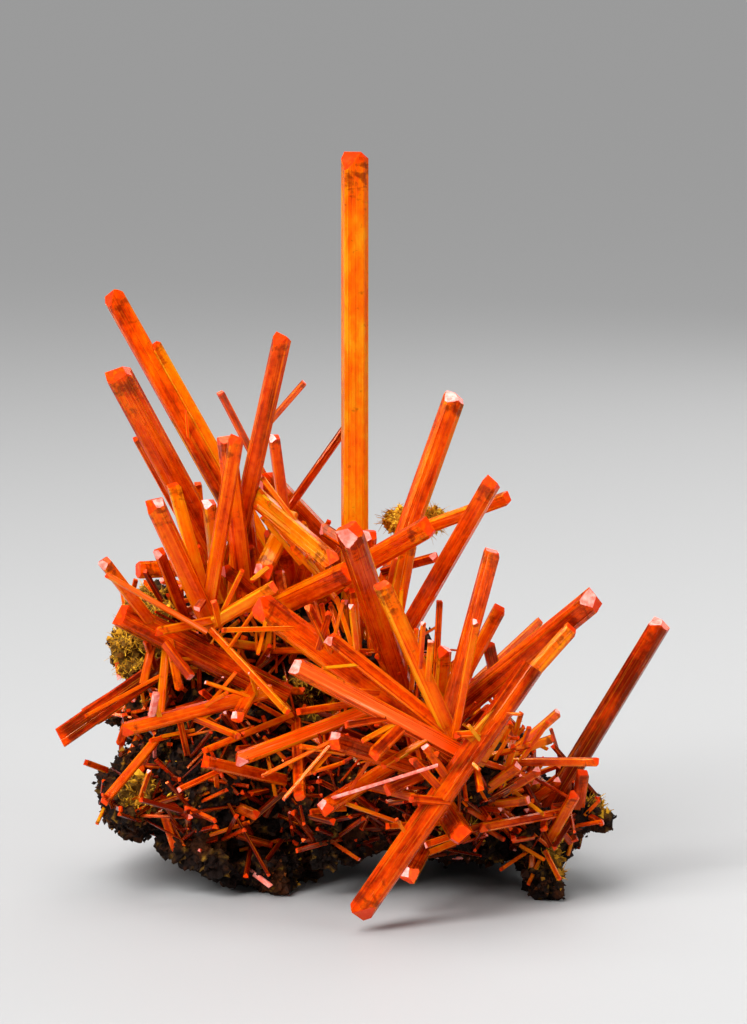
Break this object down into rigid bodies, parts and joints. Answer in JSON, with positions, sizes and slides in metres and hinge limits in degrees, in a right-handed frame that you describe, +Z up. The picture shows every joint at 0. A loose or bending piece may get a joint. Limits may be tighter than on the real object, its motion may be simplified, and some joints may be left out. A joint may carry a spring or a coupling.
{
  "type": "crocoite mineral specimen",
  "caption": "Jackstraw cluster of long, ribbed, orange-red crocoite crystals growing out of a rough dark gossan lump that rests on its feet.",
  "frame": {"origin": "on the surface that the gossan's feet rest on, under the middle of the specimen's box", "axes": "+Z up, +Y from the specimen's front to its back, +X to the right as seen from the front"},
  "size_m": [0.0994, 0.0866, 0.1188],
  "materials": {
    "crocoite": "translucent orange-red crystal, glassy to adamantine, striated lengthwise",
    "gossan": "rough, pitted, dark brown to black iron and manganese gossan with ochre limonite patches",
    "limonite": "earthy, fibrous, ochre-yellow limonite"
  },
  "bodies": {
    "root": {"gossan_matrix": "gossan", "tall_central_crystal": "crocoite", "upper_left_blade": "crocoite", "second_left_blade": "crocoite", "crown_spray": "crocoite", "crown_slab": "crocoite", "diagonal_needle": "crocoite", "block_tipped_crystal": "crocoite", "slim_upright_crystal": "crocoite", "short_crown_crystal": "crocoite", "white_faced_block": "crocoite", "bright_stub": "crocoite", "crown_backing_pair": "crocoite", "dim_upright_crystal": "crocoite", "left_fan": "crocoite", "left_lean_crystal": "crocoite", "left_level_crystal": "crocoite", "left_shelf_spray": "crocoite", "left_bright_lath": "crocoite", "left_short_lath": "crocoite", "left_blade": "crocoite", "left_cross_pair": "crocoite", "long_drooping_crystal": "crocoite", "lower_left_crystal": "crocoite", "small_left_crystal": "crocoite", "cross_bar_crystal": "crocoite", "pink_topped_crystal": "crocoite", "pink_topped_stub": "crocoite", "right_reaching_crystal": "crocoite", "right_upper_spray": "crocoite", "right_slant_crystal": "crocoite", "central_spray": "crocoite", "hub_back_spray": "crocoite", "hooked_red_crystal": "crocoite", "big_right_crystal": "crocoite", "small_red_stub": "crocoite", "mid_level_lath": "crocoite", "long_front_crystal": "crocoite", "far_right_crystal": "crocoite", "right_low_spray": "crocoite", "right_base_pair": "crocoite", "right_red_stub": "crocoite", "stout_front_crystal": "crocoite", "lower_front_crystal": "crocoite", "crossing_red_crystal": "crocoite", "small_cross_crystal": "crocoite", "lower_pin_crystal": "crocoite", "hanging_stub": "crocoite", "hanging_crystal": "crocoite", "stepped_low_crystal": "crocoite", "low_left_stub": "crocoite", "low_left_lath": "crocoite", "low_left_needle": "crocoite", "back_upper_spray": "crocoite", "back_left_crystal": "crocoite", "back_low_spray": "crocoite", "back_middle_crystal": "crocoite", "back_right_spray": "crocoite", "limonite_tuft": "limonite"}
  },
  "joints": []
}
